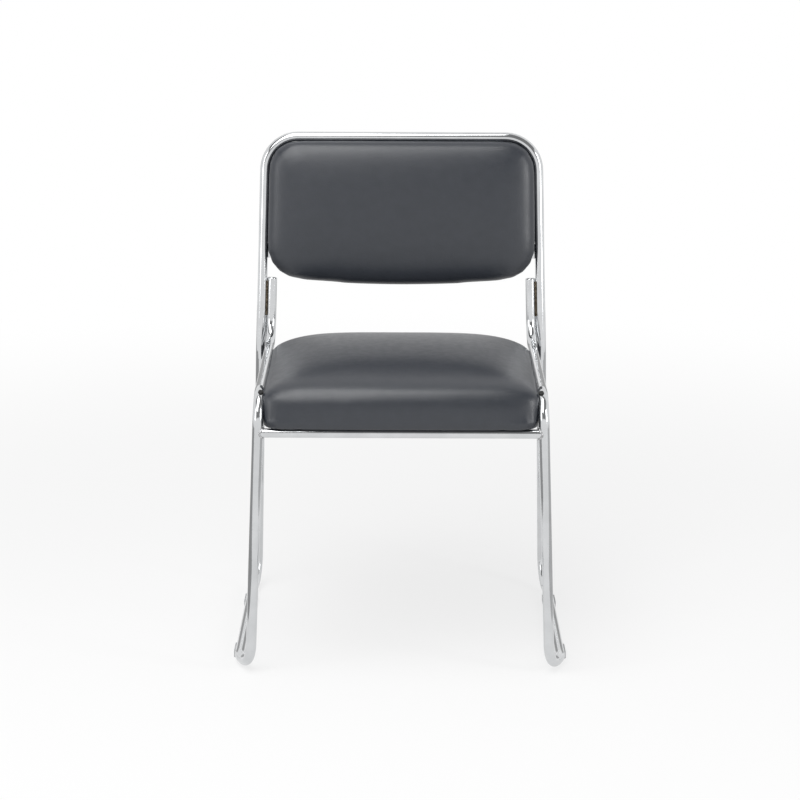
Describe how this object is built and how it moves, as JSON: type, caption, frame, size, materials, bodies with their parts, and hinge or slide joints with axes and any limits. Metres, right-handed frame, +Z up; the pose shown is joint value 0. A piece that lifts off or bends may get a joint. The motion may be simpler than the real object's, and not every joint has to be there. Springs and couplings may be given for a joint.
{
  "type": "conference chair",
  "caption": "Stacking conference chair with a bent chrome tube frame on sled legs, a padded dark grey seat and a padded back inside a hoop.",
  "frame": {"origin": "on the floor, under the middle of the chair's overall width and depth", "axes": "+X to the right as seen from the front, +Y towards the back, +Z up"},
  "size_m": [0.5186, 0.4737, 0.7755],
  "materials": {
    "chrome_tube": "bright chrome plate on bent steel tube",
    "zinc_steel": "zinc plated steel",
    "plywood": "raw birch plywood",
    "foam": "open cell foam",
    "upholstery": "dark grey artificial leather, fine grain, soft sheen",
    "dust_cloth": "black non-woven cloth",
    "glide_plastic": "pale grey moulded plastic",
    "bumper_rubber": "black rubber"
  },
  "bodies": {
    "root": {"back_hoop": "chrome_tube", "left_side_loop": "chrome_tube", "right_side_loop": "chrome_tube", "front_cross_tube": "chrome_tube", "rear_cross_tube": "chrome_tube", "seat_tabs": "chrome_tube", "back_tabs": "chrome_tube", "left_stub_plug": "chrome_tube", "right_stub_plug": "chrome_tube", "left_joint_sleeve": "zinc_steel", "right_joint_sleeve": "zinc_steel", "seat_screws": "zinc_steel", "seat_washers": "zinc_steel", "seat_tee_nuts": "zinc_steel", "seat_staples": "zinc_steel", "back_screws": "zinc_steel", "back_washers": "zinc_steel", "back_tee_nuts": "zinc_steel", "back_staples": "zinc_steel", "seat_board": "plywood", "back_board": "plywood", "seat_foam": "foam", "back_foam": "foam", "seat_cover": "upholstery", "back_cover": "upholstery", "back_rear_panel": "upholstery", "seat_dust_cloth": "dust_cloth", "front_left_glide": "glide_plastic", "front_right_glide": "glide_plastic", "rear_left_glide": "glide_plastic", "rear_right_glide": "glide_plastic", "left_stacking_bumper": "bumper_rubber", "right_stacking_bumper": "bumper_rubber"}
  },
  "joints": []
}
